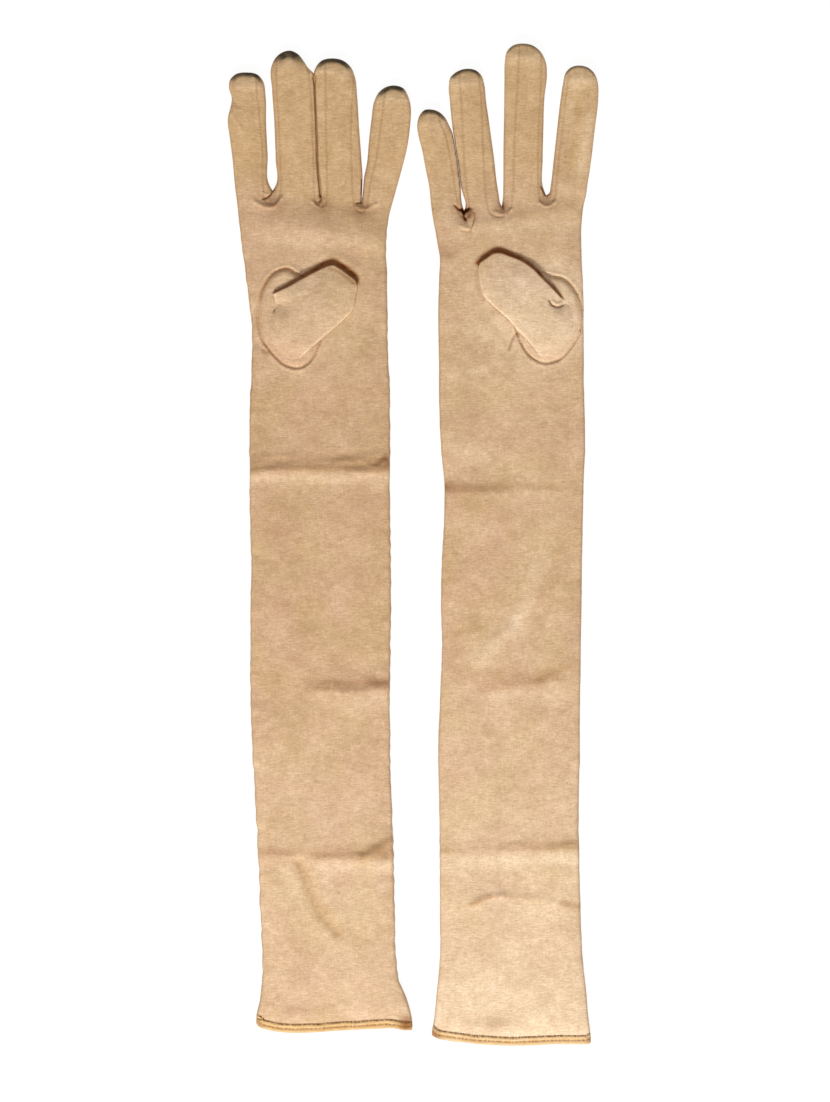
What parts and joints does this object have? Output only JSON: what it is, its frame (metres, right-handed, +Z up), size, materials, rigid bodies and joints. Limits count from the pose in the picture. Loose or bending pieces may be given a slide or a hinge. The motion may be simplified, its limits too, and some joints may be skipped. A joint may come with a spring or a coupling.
{
  "type": "opera gloves",
  "caption": "Pair of long knitted gloves laid flat, palms up, thumbs folded over the palms, sleeves reaching above the elbow.",
  "frame": {"origin": "on the surface that the gloves lie on, under the middle of the pair's outline", "axes": "+Z up out of the palms, +Y along the gloves from the cuffs to the fingertips, +X from the left glove to the right glove"},
  "size_m": [0.2172, 0.591, 0.0131],
  "materials": {
    "knit": "brushed cotton jersey, matt, finely ribbed",
    "seam": "seams, strips and gussets of the same jersey",
    "hem": "doubled jersey with two rows of stitching"
  },
  "bodies": {
    "left_thumb": {"left_thumb": "knit"},
    "left_forearm": {"left_forearm_sleeve": "knit"},
    "left_middle_sleeve": {"left_middle_sleeve": "knit"},
    "left_cuff": {"left_cuff_sleeve": "knit", "left_hem": "hem"},
    "left_hand": {"left_palm_panel": "knit", "left_back_panel": "knit", "left_thumb_side_seam": "seam", "left_outer_side_seam": "seam", "left_index_middle_quirk": "seam", "left_middle_ring_quirk": "seam", "left_ring_little_quirk": "seam", "left_thumb_seam": "seam", "left_thumb_base": "knit"},
    "left_index_finger": {"left_index_palm_side": "knit", "left_index_back_side": "knit", "left_index_side_seam": "seam", "left_index_fourchette_outer_side": "seam"},
    "left_middle_finger": {"left_middle_palm_side": "knit", "left_middle_back_side": "knit", "left_middle_fourchette_thumb_side": "seam", "left_middle_fourchette_outer_side": "seam"},
    "left_ring_finger": {"left_ring_palm_side": "knit", "left_ring_back_side": "knit", "left_ring_fourchette_thumb_side": "seam", "left_ring_fourchette_outer_side": "seam"},
    "left_little_finger": {"left_little_palm_side": "knit", "left_little_back_side": "knit", "left_little_fourchette_thumb_side": "seam", "left_little_side_seam": "seam"},
    "right_thumb": {"right_thumb": "knit"},
    "right_forearm": {"right_forearm_sleeve": "knit"},
    "right_middle_sleeve": {"right_middle_sleeve": "knit"},
    "right_cuff": {"right_cuff_sleeve": "knit", "right_hem": "hem"},
    "right_hand": {"right_palm_panel": "knit", "right_back_panel": "knit", "right_thumb_side_seam": "seam", "right_outer_side_seam": "seam", "right_index_middle_quirk": "seam", "right_middle_ring_quirk": "seam", "right_ring_little_quirk": "seam", "right_thumb_seam": "seam", "right_thumb_base": "knit"},
    "right_index_finger": {"right_index_palm_side": "knit", "right_index_back_side": "knit", "right_index_side_seam": "seam", "right_index_fourchette_outer_side": "seam"},
    "right_middle_finger": {"right_middle_palm_side": "knit", "right_middle_back_side": "knit", "right_middle_fourchette_thumb_side": "seam", "right_middle_fourchette_outer_side": "seam"},
    "right_ring_finger": {"right_ring_palm_side": "knit", "right_ring_back_side": "knit", "right_ring_fourchette_thumb_side": "seam", "right_ring_fourchette_outer_side": "seam"},
    "right_little_finger": {"right_little_palm_side": "knit", "right_little_back_side": "knit", "right_little_fourchette_thumb_side": "seam", "right_little_side_seam": "seam"}
  },
  "joints": [
    {"name": "left_index_bend", "type": "hinge", "parent": "left_hand", "child": "left_index_finger", "pos_m": [-0.09469, 0.21186, 0.0066], "axis": [1, 0, 0], "range_deg": [0, 90]},
    {"name": "left_middle_bend", "type": "hinge", "parent": "left_hand", "child": "left_middle_finger", "pos_m": [-0.06929, 0.21186, 0.0066], "axis": [1, 0, 0], "range_deg": [0, 90]},
    {"name": "left_ring_bend", "type": "hinge", "parent": "left_hand", "child": "left_ring_finger", "pos_m": [-0.04289, 0.21186, 0.0066], "axis": [1, 0, 0], "range_deg": [0, 90]},
    {"name": "left_little_bend", "type": "hinge", "parent": "left_hand", "child": "left_little_finger", "pos_m": [-0.02019, 0.21186, 0.0066], "axis": [1, 0, 0], "range_deg": [0, 90]},
    {"name": "left_thumb_swing", "type": "hinge", "parent": "left_hand", "child": "left_thumb", "pos_m": [-0.07389, 0.12821, 0.01], "axis": [-0.3777, 0.9259, 0], "range_deg": [-165, 0]},
    {"name": "left_sleeve_fold_1", "type": "hinge", "parent": "left_hand", "child": "left_forearm", "pos_m": [-0.05559, 0.04486, 0.0066], "axis": [-1, 0, 0], "range_deg": [0, 170]},
    {"name": "left_sleeve_fold_2", "type": "hinge", "parent": "left_forearm", "child": "left_middle_sleeve", "pos_m": [-0.05559, -0.08274, -0.0002], "axis": [1, 0, 0], "range_deg": [0, 170]},
    {"name": "left_sleeve_fold_3", "type": "hinge", "parent": "left_middle_sleeve", "child": "left_cuff", "pos_m": [-0.05559, -0.18184, 0.0066], "axis": [-1, 0, 0], "range_deg": [0, 170]},
    {"name": "right_index_bend", "type": "hinge", "parent": "right_hand", "child": "right_index_finger", "pos_m": [0.09031, 0.21186, 0.0066], "axis": [1, 0, 0], "range_deg": [0, 90]},
    {"name": "right_middle_bend", "type": "hinge", "parent": "right_hand", "child": "right_middle_finger", "pos_m": [0.06471, 0.21186, 0.0066], "axis": [1, 0, 0], "range_deg": [0, 90]},
    {"name": "right_ring_bend", "type": "hinge", "parent": "right_hand", "child": "right_ring_finger", "pos_m": [0.04031, 0.21186, 0.0066], "axis": [1, 0, 0], "range_deg": [0, 90]},
    {"name": "right_little_bend", "type": "hinge", "parent": "right_hand", "child": "right_little_finger", "pos_m": [0.01931, 0.21186, 0.0066], "axis": [1, 0, 0], "range_deg": [0, 90]},
    {"name": "right_thumb_swing", "type": "hinge", "parent": "right_hand", "child": "right_thumb", "pos_m": [0.08101, 0.12556, 0.01], "axis": [-0.3483, -0.9374, 0], "range_deg": [-165, 0]},
    {"name": "right_sleeve_fold_1", "type": "hinge", "parent": "right_hand", "child": "right_forearm", "pos_m": [0.05771, 0.03356, 0.0066], "axis": [-1, 0, 0], "range_deg": [0, 170]},
    {"name": "right_sleeve_fold_2", "type": "hinge", "parent": "right_forearm", "child": "right_middle_sleeve", "pos_m": [0.05771, -0.07564, -0.0002], "axis": [1, 0, 0], "range_deg": [0, 170]},
    {"name": "right_sleeve_fold_3", "type": "hinge", "parent": "right_middle_sleeve", "child": "right_cuff", "pos_m": [0.05771, -0.18184, 0.0066], "axis": [-1, 0, 0], "range_deg": [0, 170]},
    {"name": "right_glove_apart", "type": "slide", "parent": "left_hand", "child": "right_hand", "axis": [1, 0, 0], "range_m": [0, 0.1]}
  ],
  "couplings": [
    {"joint": "left_sleeve_fold_2", "follows": "left_sleeve_fold_1", "ratio": 1},
    {"joint": "left_sleeve_fold_3", "follows": "left_sleeve_fold_1", "ratio": 1},
    {"joint": "right_sleeve_fold_2", "follows": "right_sleeve_fold_1", "ratio": 1},
    {"joint": "right_sleeve_fold_3", "follows": "right_sleeve_fold_1", "ratio": 1}
  ]
}
